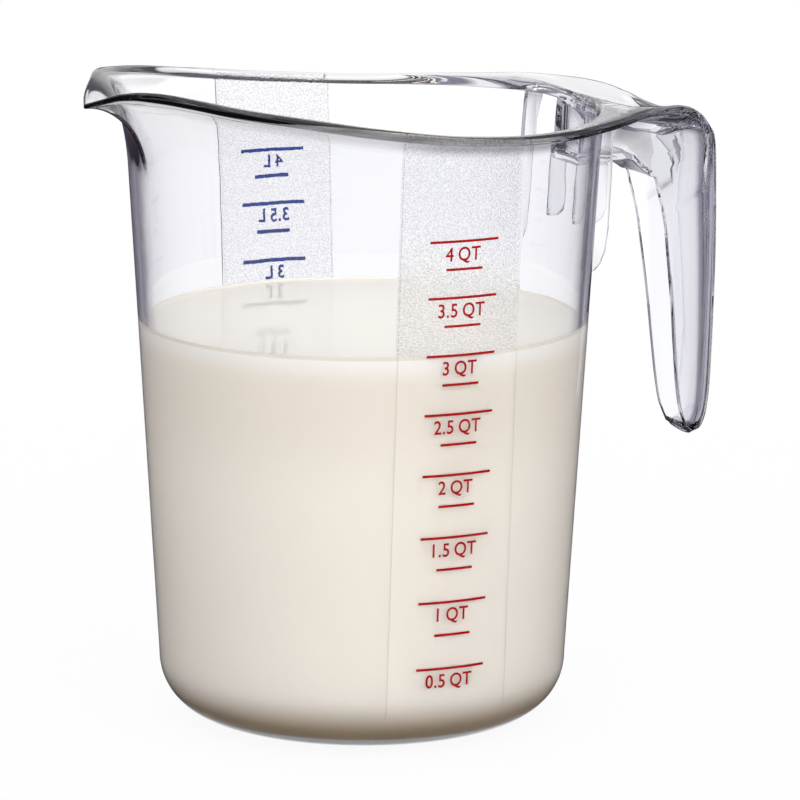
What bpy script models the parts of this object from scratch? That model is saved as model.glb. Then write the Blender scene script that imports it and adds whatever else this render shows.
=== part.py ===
"""Clear plastic four-litre measuring jug holding milk.

One moulded body (wall, foot, flared rim, spout, hooked channel handle) and the
milk inside it. Origin on the jug's axis at the level it stands on; the handle
points along +X, the spout along -X. Metres.
"""
import math

import bmesh
import bpy
import numpy as np

# Body
CONE_RADIUS = 0.0763          # outer radius of the wall's cone at the ground
TAPER = 0.0591                # growth of the radius for each unit of height
WALL = 0.0025
CORNER = 0.022                # outer radius of the rounded bottom corner
FLOOR_TOP = 0.0062            # thick clear floor under the milk
FOOT_RADIUS = 0.053
FOOT_HEIGHT = 0.0013
COLUMNS = 80                  # facets round the jug

# Rim: seen from the side its height depends on x alone
RIM_HEIGHT = [(-0.1135, 0.2415), (-0.1101, 0.2441), (-0.1055, 0.2468), (-0.1012, 0.2481),
              (-0.0970, 0.2485), (-0.0905, 0.2478), (-0.0800, 0.2459), (-0.0596, 0.2430),
              (-0.0370, 0.2396), (0.0000, 0.2354), (0.0400, 0.2334), (0.0750, 0.2342),
              (0.0950, 0.2352), (0.1100, 0.2345), (0.1200, 0.2326), (0.1280, 0.2289)]
# Reach of the rim from the axis, by degrees from the handle
RIM_REACH = [(45, 0.0992), (50, 0.0976), (60, 0.0950), (70, 0.0941), (90, 0.0945), (113, 0.0957),
             (127, 0.0980), (143, 0.1000), (152, 0.1006), (157, 0.1012), (162, 0.1023), (167, 0.1040),
             (171.4, 0.1067), (175.8, 0.1104), (180, 0.1134)]
RIM_THICKNESS = 0.0037
TIP_THINNING = 0.0018         # the rim gets thinner by this at the spout's tip
RIM_EDGE = 0.0003             # bevel on the rim's outer edges
OVERHANG = 0.0042             # how far the rim stands proud of the wall below it
SPOUT_OVERHANG = 0.0015
FLARE_START = 0.212           # height where the spout leaves the cone
LIP_START = math.radians(80)  # swing of the flare where the rim's inner rounding begins

# Thumb plate: the rim runs straight from the body to the handle
PLATE_ANGLE = 55.0            # direction of its straight sides' normal, degrees from the handle
PLATE_DISTANCE = 0.0979       # those sides' distance from the axis
PLATE_END = 0.128
DISH = [(0.088, 0.0), (0.096, 0.0030), (0.106, 0.0070), (0.113, 0.0090), (0.120, 0.0092), (0.128, 0.0058)]

# Handle: outer plate that rolls over the nose and hangs down
# centre x, centre z, edge x, edge half width, edge z, thickness
STRAP = [(0.1180, 0.2232, 0.1120, 0.0350, 0.2314, 0.0010),
         (0.1250, 0.2226, 0.1222, 0.0328, 0.2306, 0.0024),
         (0.1310, 0.2232, 0.1275, 0.0300, 0.2289, 0.0034),
         (0.1370, 0.2234, 0.1312, 0.0276, 0.2257, 0.0034),
         (0.1415, 0.2222, 0.1340, 0.0256, 0.2218, 0.0034),
         (0.1447, 0.2188, 0.1366, 0.0228, 0.2165, 0.0034),
         (0.1460, 0.2132, 0.1388, 0.0192, 0.2105, 0.0034),
         (0.1464, 0.2050, 0.1405, 0.0156, 0.2030, 0.0034),
         (0.1467, 0.1900, 0.1415, 0.0134, 0.1895, 0.0032),
         (0.1472, 0.1700, 0.1424, 0.0126, 0.1700, 0.0032),
         (0.1472, 0.1500, 0.1426, 0.0118, 0.1500, 0.0032),
         (0.1470, 0.1300, 0.1426, 0.0110, 0.1300, 0.0032),
         (0.1465, 0.1150, 0.1423, 0.0103, 0.1155, 0.0032),
         (0.1452, 0.1050, 0.1414, 0.0099, 0.1064, 0.0032),
         (0.1425, 0.0992, 0.1398, 0.0097, 0.1012, 0.0032),
         (0.1385, 0.0972, 0.1372, 0.0095, 0.0990, 0.0030)]
STRAP_CUTS = 8                # facets across the strap

# Handle seen from the side: the channel's side walls hang from the strap to these edges
FREE_EDGE = [(0.1356, 0.1004), (0.1335, 0.1052), (0.1319, 0.1100), (0.1303, 0.1200), (0.1287, 0.1350),
             (0.1270, 0.1520), (0.1244, 0.1720), (0.1225, 0.1850), (0.1182, 0.2012)]
ROOT_EDGE = [(0.1160, 0.2017), (0.1122, 0.2042), (0.1076, 0.2084), (0.1055, 0.2090), (0.0952, 0.2090)]
ROOT_FOOT = [(0.0950, 0.1900), (0.0940, 0.1868), (0.0915, 0.1850), (0.0855, 0.1850)]
CHANNEL_MOUTH = [(0.1290, 0.1060), (0.1200, 0.1080), (0.1100, 0.1900), (0.1100, 0.1985)]
SIDE_FOOT = 0.098             # height and half width of the channel's lower end
SIDE_FOOT_WIDTH = 0.0094
SIDE_BEND = 0.188             # height above which the half width stays the same
SIDE_BEND_WIDTH = 0.0130
SIDE_WALL = 0.0026
SIDE_DEPTH = 0.0020           # side walls begin this far inside the strap
WEB_DEPTH = 0.0043            # hollow begins this far inside the strap
ROOT_WEB = 0.0025
ROOT_SLOT = [(0.0872, 0.2075), (0.1000, 0.2075), (0.1000, 0.1800), (0.0800, 0.1800), (0.0800, 0.1840)]

# Outer pair of fins under the rim
FIN_OFFSET = 0.031
FIN_THICKNESS = 0.0018
FIN_OUTLINE = [(0.0832, 0.2328), (0.0930, 0.2328), (0.0895, 0.2200), (0.0890, 0.2050), (0.0880, 0.1880),
               (0.0868, 0.1780), (0.0845, 0.1730), (0.0820, 0.1705), (0.0792, 0.1700)]

# Milk
MILK_LEVEL = 0.153
GAP = 0.0003


def smooth_through(points, at):
    """Value at a place of the smooth curve through the points, level past its ends."""
    xs = np.array([p[0] for p in points], float)
    ys = np.array([p[1] for p in points], float)
    steps = np.diff(ys) / np.diff(xs)
    slopes = np.zeros(len(xs))
    for i in range(1, len(xs) - 1):
        if steps[i - 1] * steps[i] > 0:
            slopes[i] = 2 * steps[i - 1] * steps[i] / (steps[i - 1] + steps[i])
    slopes[0] = steps[0]
    slopes[-1] = steps[-1]
    at = min(max(at, xs[0]), xs[-1])
    i = min(max(int(np.searchsorted(xs, at)) - 1, 0), len(xs) - 2)
    width = xs[i + 1] - xs[i]
    t = (at - xs[i]) / width
    start = ys[i] * (1 + 2 * t) * (1 - t) ** 2 + slopes[i] * width * t * (1 - t) ** 2
    end = ys[i + 1] * t * t * (3 - 2 * t) + slopes[i + 1] * width * t * t * (t - 1)
    return start + end


def cone(z):
    """Outer radius of the straight wall at a height."""
    return CONE_RADIUS + TAPER * z


def plate_half_width(x):
    """Half the thumb plate's width at x, from its straight sides."""
    turn = math.radians(PLATE_ANGLE)
    return (PLATE_DISTANCE - x * math.cos(turn)) / math.sin(turn)


def rim_reach(angle):
    """Distance of the rim's outer edge from the axis; angle in degrees from the handle."""
    angle = abs(angle)
    if angle >= RIM_REACH[0][0]:
        return smooth_through(RIM_REACH, angle)
    side = PLATE_DISTANCE / math.cos(math.radians(PLATE_ANGLE - angle))
    return min(side, PLATE_END / math.cos(math.radians(angle)))


def rim_top(x, y):
    """Height of the rim's and the thumb plate's upper face."""
    height = smooth_through(RIM_HEIGHT, x)
    if x > DISH[0][0]:
        across = min(abs(y) / plate_half_width(min(x, PLATE_END)), 1.0)
        height -= smooth_through(DISH, x) * (1 - across ** 3)
    return height


def spoutness(angle):
    """0 round the body, 1 at the spout's tip."""
    t = min(max((abs(angle) - 118) / 50, 0), 1)
    return t * t * (3 - 2 * t)


def rim_thickness(angle):
    """The rim is thinner at the spout's tip."""
    t = min(max((abs(angle) - 160) / 20, 0), 1)
    return RIM_THICKNESS - TIP_THINNING * t * t * (3 - 2 * t)


def edge_top(angle):
    """Height of the rim's upper face at its outer edge, by degrees from the handle."""
    turn = math.radians(angle)
    reach = rim_reach(angle) if abs(angle) > 62 else rim_reach(62) - OVERHANG
    return rim_top(reach * math.cos(turn), reach * math.sin(turn))


def wall_reach(angle):
    """Distance from the axis of the wall's outer face under the rim."""
    overhang = OVERHANG + (SPOUT_OVERHANG - OVERHANG) * spoutness(angle)
    return rim_reach(max(abs(angle), 62)) - overhang


def flare_point(angle, swing, inset):
    """Radius and height on the wall's flare; swing runs from 0 upright to a quarter turn at the rim."""
    thinning = RIM_THICKNESS - rim_thickness(angle)
    if inset > 0:
        inset -= 0.6 * thinning * math.sin(swing)
    rise = edge_top(angle) - rim_thickness(angle) - FLARE_START
    push = max(wall_reach(angle) - cone(FLARE_START + rise), 0)
    z = FLARE_START + rise * math.sin(swing)
    radius = cone(z) + push * (1 - math.cos(swing))
    slope = math.hypot(rise * math.cos(swing), push * math.sin(swing))
    radius -= inset * rise * math.cos(swing) / slope
    z += inset * push * math.sin(swing) / slope
    return radius, z


def ring_sheet(name, rings, columns=COLUMNS):
    """Closed surface through rings of points, with a fan at both ends."""
    bm = bmesh.new()
    rows = [[bm.verts.new(ring(360 * i / columns)) for i in range(columns)] for ring in rings]
    for low, high in zip(rows, rows[1:]):
        for i in range(columns):
            j = (i + 1) % columns
            bm.faces.new((low[i], low[j], high[j], high[i]))
    for row in (rows[0], rows[-1]):
        middle = sum((v.co for v in row), row[0].co * 0) / columns
        hub = bm.verts.new(middle)
        for i in range(columns):
            bm.faces.new((row[i], row[(i + 1) % columns], hub))
    return finish_solid(name, bm)


def level_ring(radius_at, height_at):
    """Ring whose radius and height follow the angle in degrees from the handle."""
    def ring(angle):
        signed = (angle + 180) % 360 - 180
        turn = math.radians(signed)
        radius = radius_at(signed)
        return (radius * math.cos(turn), radius * math.sin(turn), height_at(signed, radius))
    return ring


def flat_ring(radius, z):
    """Plain circle."""
    return level_ring(lambda angle: radius, lambda angle, r: z)


def corner_rings(radius_at_wall, corner, bottom, cuts):
    """Rings of a rounded bottom corner, from the floor up to the wall."""
    middle = radius_at_wall(bottom + corner) - corner
    rings = []
    for i in range(cuts + 1):
        turn = math.pi / 2 * i / cuts
        rings.append(flat_ring(middle + corner * math.sin(turn), bottom + corner * (1 - math.cos(turn))))
    return rings


def flare_ring(swing, inset):
    """Ring of the wall between the spout's start and the rim."""
    return level_ring(lambda angle: flare_point(angle, swing, inset)[0],
                      lambda angle, radius: flare_point(angle, swing, inset)[1])


def rim_ring(share, inset, level, trim=0.0):
    """Ring on the rim: share 0 at the wall and 1 at the edge; level 0 on its upper face and 1 on its lower."""
    def radius(angle):
        start = wall_reach(angle)
        return start + (rim_reach(angle) - start) * share - inset

    def height(angle, r):
        below = rim_thickness(angle) * level + trim
        if abs(angle) > 62:
            return edge_top(angle) - below
        turn = math.radians(angle)
        return rim_top(r * math.cos(turn), r * math.sin(turn)) - below
    return level_ring(radius, height)


def lip_ring(turn):
    """Ring of the rounding between the inside of the wall and the rim's upper face."""
    def place(angle):
        low_radius, low = flare_point(angle, LIP_START, WALL)
        across = 1 - math.cos(turn)
        across += (math.sin(turn) - across) * spoutness(angle)
        radius = low_radius + (wall_reach(angle) - low_radius) * across
        return radius, low + (edge_top(angle) - low) * math.sin(turn)
    return level_ring(lambda angle: place(angle)[0], lambda angle, radius: place(angle)[1])


def inner_radius(z):
    """Radius of the inside of the straight wall."""
    return cone(z) - WALL


def body_form():
    """Foot, wall, rim and inside as one closed sheet, from the foot's middle round to the floor's."""
    swings = [math.radians(swing) for swing in (0, 18, 35, 50, 65, 78, 90)]
    rounding = [math.radians(turn) for turn in (90, 72, 54, 36, 18, 0)]
    across = (0.2, 0.4, 0.6, 0.78)
    rings = [flat_ring(FOOT_RADIUS, 0), flat_ring(FOOT_RADIUS + 0.0006, FOOT_HEIGHT)]
    rings += corner_rings(cone, CORNER, FOOT_HEIGHT, 6)
    rings += [flat_ring(cone(z), z) for z in (0.09, 0.16)]
    rings += [flare_ring(swing, 0) for swing in swings]
    rings += [rim_ring(share, 0, 1) for share in across]
    rings += [rim_ring(1, RIM_EDGE, 1), rim_ring(1, 0, 1, -RIM_EDGE)]
    rings += [rim_ring(1, 0, 0, RIM_EDGE), rim_ring(1, RIM_EDGE, 0)]
    rings += [rim_ring(share, 0, 0) for share in reversed(across)]
    rings += [lip_ring(turn) for turn in rounding]
    rings += [flare_ring(swing, WALL) for swing in reversed(swings[:5])]
    rings += [flat_ring(inner_radius(z), z) for z in (0.16, 0.09)]
    rings += reversed(corner_rings(inner_radius, CORNER - WALL, FLOOR_TOP, 5))
    return ring_sheet("jug", rings)


def curved_plate(name, stations, cuts):
    """Closed curved plate through stations of centre, edge and thickness."""
    faces_up = []
    for cx, cz, ex, half, ez, thick in stations:
        row = []
        for i in range(cuts + 1):
            v = 2 * i / cuts - 1
            row.append(np.array([cx + (ex - cx) * v * v, half * v, cz + (ez - cz) * v * v]))
        faces_up.append(row)
    lower = []
    for s, row in enumerate(faces_up):
        before = faces_up[max(s - 1, 0)]
        after = faces_up[min(s + 1, len(faces_up) - 1)]
        under = []
        for i, point in enumerate(row):
            along = after[i] - before[i]
            across = row[min(i + 1, cuts)] - row[max(i - 1, 0)]
            normal = np.cross(along, across)
            under.append(point - stations[s][5] * normal / np.linalg.norm(normal))
        lower.append(under)
    bm = bmesh.new()
    top = [[bm.verts.new(p) for p in row] for row in faces_up]
    low = [[bm.verts.new(p) for p in row] for row in lower]
    last = len(stations) - 1
    for s in range(last):
        for i in range(cuts):
            bm.faces.new((top[s][i], top[s][i + 1], top[s + 1][i + 1], top[s + 1][i]))
            bm.faces.new((low[s][i], low[s + 1][i], low[s + 1][i + 1], low[s][i + 1]))
        for i in (0, cuts):
            bm.faces.new((top[s][i], top[s + 1][i], low[s + 1][i], low[s][i]))
    for s in (0, last):
        for i in range(cuts):
            bm.faces.new((top[s][i], low[s][i], low[s][i + 1], top[s][i + 1]))
    return finish_solid(name, bm)


def side_plate(name, outline, half_width_at, offset=0.0):
    """Side view outline given width; its faces bend only where the width's slope changes."""
    bm = bmesh.new()
    bm.faces.new([bm.verts.new((x, 0, z)) for x, z in outline])
    parts = bm.verts[:] + bm.edges[:] + bm.faces[:]
    bmesh.ops.bisect_plane(bm, geom=parts, plane_co=(0, 0, SIDE_BEND), plane_no=(0, 0, 1))
    bmesh.ops.triangulate(bm, faces=bm.faces)
    copy = bmesh.ops.extrude_face_region(bm, geom=bm.faces[:], use_keep_orig=True)
    moved = set(item for item in copy["geom"] if isinstance(item, bmesh.types.BMVert))
    for vert in bm.verts:
        side = 1 if vert in moved else -1
        vert.co.y = offset + side * half_width_at(vert.co.z)
    return finish_solid(name, bm)


def finish_solid(name, bm):
    """Object from a closed bmesh, with its faces turned outward."""
    bmesh.ops.recalc_face_normals(bm, faces=bm.faces)
    if bm.calc_volume(signed=True) < 0:
        bmesh.ops.reverse_faces(bm, faces=bm.faces)
    mesh = bpy.data.meshes.new(name)
    bm.to_mesh(mesh)
    bm.free()
    thing = bpy.data.objects.new(name, mesh)
    bpy.context.collection.objects.link(thing)
    return thing


def guide(thing):
    """Mark a helper shape as a guide only."""
    thing.hide_render = True
    thing.display_type = "WIRE"
    return thing


def combine(target, other, operation):
    """Add a Boolean step to the target."""
    step = target.modifiers.new(other.name, "BOOLEAN")
    step.operation = operation
    step.object = guide(other)
    step.solver = "MANIFOLD"      # EXACT leaves open edges where the plate meets the nose


def paint(thing, name, color, roughness, transmission=0.0, ior=1.45):
    """Give the object its own material."""
    material = bpy.data.materials.new(name)
    material.use_nodes = True
    shader = material.node_tree.nodes["Principled BSDF"]
    shader.inputs["Base Color"].default_value = (*color, 1)
    shader.inputs["Roughness"].default_value = roughness
    shader.inputs["Metallic"].default_value = 0.0
    shader.inputs["Transmission Weight"].default_value = transmission
    shader.inputs["IOR"].default_value = ior
    thing.data.materials.append(material)


def offset_line(points, distance):
    """Line moved sideways by a distance, to the right of its direction."""
    moved = []
    for i, (x, z) in enumerate(points):
        before = points[max(i - 1, 0)]
        after = points[min(i + 1, len(points) - 1)]
        along = np.array([after[0] - before[0], after[1] - before[1]])
        along /= np.linalg.norm(along)
        moved.append((x + along[1] * distance, z - along[0] * distance))
    return moved


def under_plate(depth):
    """Line under the middle of the thumb plate, from the wall to the strap."""
    return [(x, rim_top(x, 0) - depth) for x in (0.092, 0.098, 0.104, 0.110, 0.116, 0.122)]


def side_half_width(z):
    """Half the width of the handle's channel at a height."""
    share = min(max((z - SIDE_FOOT) / (SIDE_BEND - SIDE_FOOT), 0), 1)
    return SIDE_FOOT_WIDTH + (SIDE_BEND_WIDTH - SIDE_FOOT_WIDTH) * share


def hollow_half_width(z):
    """Half the width of the space inside the channel."""
    return side_half_width(z) - SIDE_WALL


def handle_sides():
    """Solid hook between the strap and the free edges, slotted where it meets the wall."""
    centre = [(row[0], row[1]) for row in STRAP[2:]]
    outline = [(0.0882, 0.2318)] + under_plate(SIDE_DEPTH) + offset_line(centre, SIDE_DEPTH)
    outline += FREE_EDGE + ROOT_EDGE + ROOT_FOOT
    sides = side_plate("handle_sides", outline, side_half_width)
    combine(sides, side_plate("root_slot", ROOT_SLOT, hollow_half_width), "DIFFERENCE")
    return sides


def handle_hollow():
    """Space inside the channel, open toward the jug."""
    centre = [(row[0], row[1]) for row in STRAP[2:]]
    outline = under_plate(SIDE_DEPTH + RIM_THICKNESS) + offset_line(centre, WEB_DEPTH) + CHANNEL_MOUTH
    outline += offset_line(ROOT_EDGE, ROOT_WEB)
    outline[-1] = (0.092, outline[-1][1])
    return side_plate("handle_hollow", outline, hollow_half_width)


def build_jug():
    """Moulded body with its handle and fins."""
    jug = body_form()
    combine(jug, curved_plate("handle_strap", STRAP, STRAP_CUTS), "UNION")
    combine(jug, handle_sides(), "UNION")
    combine(jug, handle_hollow(), "DIFFERENCE")
    for sign in (-1, 1):
        fin = side_plate("fin", FIN_OUTLINE, lambda z: FIN_THICKNESS / 2, sign * FIN_OFFSET)
        combine(jug, fin, "UNION")
    paint(jug, "clear_plastic", (0.93, 0.94, 0.96), 0.05, 1.0, 1.58)
    return jug


def build_milk():
    """Milk up to its level, a small gap off the plastic."""
    def radius(z):
        return inner_radius(z) - GAP
    rings = corner_rings(radius, CORNER - WALL - GAP, FLOOR_TOP + GAP, 5)
    rings += [flat_ring(radius(z), z) for z in (0.09, MILK_LEVEL)]
    milk = ring_sheet("milk", rings)
    paint(milk, "milk", (0.90, 0.87, 0.80), 0.3)
    return milk


def main():
    for thing in list(bpy.data.objects):
        bpy.data.objects.remove(thing)
    for thing in (build_jug(), build_milk()):
        thing.data.shade_smooth()
        thing.data.set_sharp_from_angle(angle=math.radians(35))


main()
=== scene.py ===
import math

import bmesh
import bpy
import numpy as np
from mathutils import Matrix, Vector


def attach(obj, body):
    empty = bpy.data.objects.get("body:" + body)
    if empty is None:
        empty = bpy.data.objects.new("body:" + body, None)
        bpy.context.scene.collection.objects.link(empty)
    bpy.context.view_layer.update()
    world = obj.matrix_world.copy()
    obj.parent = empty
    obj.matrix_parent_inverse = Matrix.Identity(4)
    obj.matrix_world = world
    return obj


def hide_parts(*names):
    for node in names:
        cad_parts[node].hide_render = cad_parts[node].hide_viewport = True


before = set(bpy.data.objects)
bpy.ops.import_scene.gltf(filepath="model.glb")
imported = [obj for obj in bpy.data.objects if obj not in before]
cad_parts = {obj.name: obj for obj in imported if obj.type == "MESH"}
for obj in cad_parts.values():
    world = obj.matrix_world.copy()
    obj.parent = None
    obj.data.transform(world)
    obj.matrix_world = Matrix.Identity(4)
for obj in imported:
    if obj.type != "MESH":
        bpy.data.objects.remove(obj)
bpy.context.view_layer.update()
print("frame loaded:", sorted(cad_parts))

# measurements shared by the plastic, the milk and the print, in metres

jugSizes = {
    "coneRadius": 0.0763,     # outer radius of the wall's cone at the ground
    "taper": 0.0591,          # growth of the radius for each unit of height
    "wall": 0.0025,
    "corner": 0.022,
    "floorTop": 0.0062,
    "footRadius": 0.053,
    "footHeight": 0.0013,
    "rimThickness": 0.0037,
    "tipThinning": 0.0018,
    "rimRounding": 0.0017,
    "overhang": 0.0042,
    "spoutOverhang": 0.0015,
    "flareStart": 0.212,
    "panelHalf": 0.02415,     # the scales' panels end at this distance from the plane across the jug
    "panelRaise": 0.00025,
    # by degrees
    "panelEdge": 15.6, "edgeStep": 0.14,     # a panel's edge from its middle, and the step's half width
    "leanEnd": 40.0,                         # columns past this from a panel's middle stand straight
    "leanRadii": (0.07, 0.094),              # and so do those nearer the axis or further out than this
    "plateStart": 62.0,                      # nearer the handle than this the rim is the thumb plate
    "spoutStart": 118.0, "spoutFull": 168.0, "thinningStart": 160.0,
    "columnStep": 1.25,
}

# height of the rim's upper face by x, and its reach by degrees from the handle
rimHeights = [(-0.1135, 0.2415), (-0.1101, 0.2441), (-0.1055, 0.2468), (-0.1012, 0.2481),
              (-0.0970, 0.2485), (-0.0905, 0.2478), (-0.0800, 0.2459), (-0.0596, 0.2430),
              (-0.0370, 0.2396), (0.0000, 0.2354), (0.0400, 0.2334), (0.0750, 0.2342),
              (0.0950, 0.2352), (0.1100, 0.2345), (0.1200, 0.2326), (0.1280, 0.2289)]
rimReaches = [(45, 0.0992), (50, 0.0976), (60, 0.0950), (70, 0.0941), (90, 0.0945), (113, 0.0957),
              (127, 0.0980), (143, 0.1000), (152, 0.1006), (157, 0.1012), (162, 0.1023), (167, 0.1040),
              (171.4, 0.1067), (175.8, 0.1104), (180, 0.1134)]
thumbPlate = {"angle": 55.0, "distance": 0.0979, "end": 0.128}
plateDish = [(0.088, 0.0), (0.096, 0.0030), (0.106, 0.0070), (0.113, 0.0090), (0.120, 0.0092),
             (0.128, 0.0058)]


def smoothValue(points, at):
    # smooth curve through the points, level past its ends
    xs = [p[0] for p in points]
    ys = [p[1] for p in points]
    at = min(max(at, xs[0]), xs[-1])
    i = 0
    while i < len(xs) - 2 and at > xs[i + 1]:
        i += 1

    def slope(k):
        if k == 0:
            return (ys[1] - ys[0]) / (xs[1] - xs[0])
        if k == len(xs) - 1:
            return (ys[-1] - ys[-2]) / (xs[-1] - xs[-2])
        before = (ys[k] - ys[k - 1]) / (xs[k] - xs[k - 1])
        after = (ys[k + 1] - ys[k]) / (xs[k + 1] - xs[k])
        return 2 * before * after / (before + after) if before * after > 0 else 0.0

    width = xs[i + 1] - xs[i]
    t = (at - xs[i]) / width
    start = ys[i] * (1 + 2 * t) * (1 - t) ** 2 + slope(i) * width * t * (1 - t) ** 2
    return start + ys[i + 1] * t * t * (3 - 2 * t) + slope(i + 1) * width * t * t * (t - 1)


def smoothStep(value, low, high):
    t = min(max((value - low) / (high - low), 0.0), 1.0)
    return t * t * (3 - 2 * t)


def coneAt(z):
    return jugSizes["coneRadius"] + jugSizes["taper"] * z


def plateHalfWidth(x):
    turn = math.radians(thumbPlate["angle"])
    return (thumbPlate["distance"] - x * math.cos(turn)) / math.sin(turn)


def rimReach(angle):
    angle = abs(angle)
    if angle >= rimReaches[0][0]:
        return smoothValue(rimReaches, angle)
    side = thumbPlate["distance"] / math.cos(math.radians(thumbPlate["angle"] - angle))
    return min(side, thumbPlate["end"] / math.cos(math.radians(angle)))


def rimTop(x, y):
    height = smoothValue(rimHeights, x)
    if x > plateDish[0][0]:
        across = min(abs(y) / plateHalfWidth(min(x, thumbPlate["end"])), 1.0)
        height -= smoothValue(plateDish, x) * (1 - across ** 3)
    return height


def spoutShare(angle):
    return smoothStep(abs(angle), jugSizes["spoutStart"], jugSizes["spoutFull"])


def rimDepth(angle):
    thinning = smoothStep(abs(angle), jugSizes["thinningStart"], 180)
    return jugSizes["rimThickness"] - jugSizes["tipThinning"] * thinning


def edgeTop(angle):
    turn, start = math.radians(angle), jugSizes["plateStart"]
    reach = rimReach(angle) if abs(angle) > start else rimReach(start) - jugSizes["overhang"]
    return rimTop(reach * math.cos(turn), reach * math.sin(turn))


def wallReach(angle):
    overhang = jugSizes["overhang"]
    overhang += (jugSizes["spoutOverhang"] - overhang) * spoutShare(angle)
    return rimReach(max(abs(angle), jugSizes["plateStart"])) - overhang


def flarePoint(angle, swing, inset):
    # the wall from the spout's start up to the rim; swing goes from 0 upright to a quarter turn
    rise = edgeTop(angle) - rimDepth(angle) - jugSizes["flareStart"]
    push = max(wallReach(angle) - coneAt(jugSizes["flareStart"] + rise), 0)
    z = jugSizes["flareStart"] + rise * math.sin(swing)
    radius = coneAt(z) + push * (1 - math.cos(swing))
    slope = math.hypot(rise * math.cos(swing), push * math.sin(swing))
    if inset > 0:
        inset -= 0.6 * (jugSizes["rimThickness"] - rimDepth(angle)) * math.sin(swing)
    return radius - inset * rise * math.cos(swing) / slope, z + inset * push * math.sin(swing) / slope


def panelShare(angle, soft=0.12):
    # 1 on the two raised panels that carry the scales
    edge = jugSizes["panelEdge"]
    return 1 - smoothStep(abs(abs(angle) - 90), edge - soft, edge + soft)


def columnAngles():
    step, beside = jugSizes["columnStep"], jugSizes["edgeStep"]
    angles = [-180 + step * i for i in range(int(360 / step))]
    for side in (-90, 90):
        for edge in (side - jugSizes["panelEdge"], side + jugSizes["panelEdge"]):
            near = min(range(len(angles)), key=lambda i: abs(angles[i] - edge))
            angles[near] = edge - beside
            angles += [edge + beside, edge]
    return sorted(angles)


def panelTurn(angle, radius):
    # columns beside the panels lean, so that a panel's edges keep their distance from the middle plane
    side = 90 if angle > 0 else -90
    off = angle - side
    start, end = jugSizes["panelEdge"], jugSizes["leanEnd"]
    if abs(off) > end:
        return angle
    edge = math.degrees(math.asin(jugSizes["panelHalf"] / radius))
    if abs(off) < start:
        moved = abs(off) * edge / start
    else:
        moved = edge + (abs(off) - start) * (end - edge) / (end - start)
    return side + math.copysign(moved, off)


def newPiece(name, bm):
    bmesh.ops.recalc_face_normals(bm, faces=bm.faces)
    if bm.calc_volume(signed=True) < 0:
        bmesh.ops.reverse_faces(bm, faces=bm.faces)
    mesh = bpy.data.meshes.new(name)
    bm.to_mesh(mesh)
    bm.free()
    piece = bpy.data.objects.new(name, mesh)
    bpy.context.scene.collection.objects.link(piece)
    return piece


def sheetThrough(name, rings, angles):
    # closed sheet through rings; a ring gives radius and height for an angle
    bm = bmesh.new()
    rows = []
    nearest, furthest = jugSizes["leanRadii"]
    for ring in rings:
        row = []
        for angle in angles:
            radius, z = ring(angle)
            turn = math.radians(panelTurn(angle, radius) if nearest < radius < furthest else angle)
            row.append(bm.verts.new((radius * math.cos(turn), radius * math.sin(turn), z)))
        rows.append(row)
    count = len(angles)
    for low, high in zip(rows, rows[1:]):
        for i in range(count):
            j = (i + 1) % count
            bm.faces.new((low[i], low[j], high[j], high[i]))
    for row in (rows[0], rows[-1]):
        hub = bm.verts.new(sum((v.co for v in row), Vector()) / count)
        for i in range(count):
            bm.faces.new((row[i], row[(i + 1) % count], hub))
    return newPiece(name, bm)


def flatRing(radius, z):
    return lambda angle: (radius, z)


def cornerRings(radiusAt, corner, bottom, cuts, raised=False):
    middle = radiusAt(bottom + corner) - corner
    rings = []
    for i in range(cuts + 1):
        turn = math.pi / 2 * i / cuts
        fade = jugSizes["panelRaise"] * smoothStep(turn, 0.9, 1.5) if raised else 0
        rings.append(lambda angle, t=turn, f=fade: (middle + corner * math.sin(t) + f * panelShare(angle),
                                                    bottom + corner * (1 - math.cos(t))))
    return rings


def innerRadius(z):
    return coneAt(z) - jugSizes["wall"]


def wallRing(z, raised):
    lift = jugSizes["panelRaise"] if raised else 0
    return lambda angle: (coneAt(z) + lift * panelShare(angle), z)


def flareRing(swing, inset):
    lift = jugSizes["panelRaise"] if inset == 0 else 0

    def ring(angle):
        radius, z = flarePoint(angle, swing, inset)
        return radius + lift * panelShare(angle), z
    return ring


def rimRing(share, level, inset=0.0, trim=0.0):
    # share 0 at the wall and 1 at the outer edge; level 0 on the upper face and 1 on the lower
    def ring(angle):
        start = wallReach(angle)
        if share == 0 and level == 1:
            start += jugSizes["panelRaise"] * panelShare(angle)
        radius = start + (rimReach(angle) - start) * share - inset
        below = rimDepth(angle) * level + trim
        if abs(angle) > jugSizes["plateStart"]:
            return radius, edgeTop(angle) - below
        turn = math.radians(angle)
        return radius, rimTop(radius * math.cos(turn), radius * math.sin(turn)) - below
    return ring


def lipRing(turn):
    # rounding between the inside of the wall and the rim's upper face
    def ring(angle):
        lowRadius, low = flarePoint(angle, math.radians(80), jugSizes["wall"])
        across = 1 - math.cos(turn)
        across += (math.sin(turn) - across) * spoutShare(angle)
        return (lowRadius + (wallReach(angle) - lowRadius) * across,
                low + (edgeTop(angle) - low) * math.sin(turn))
    return ring


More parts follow.
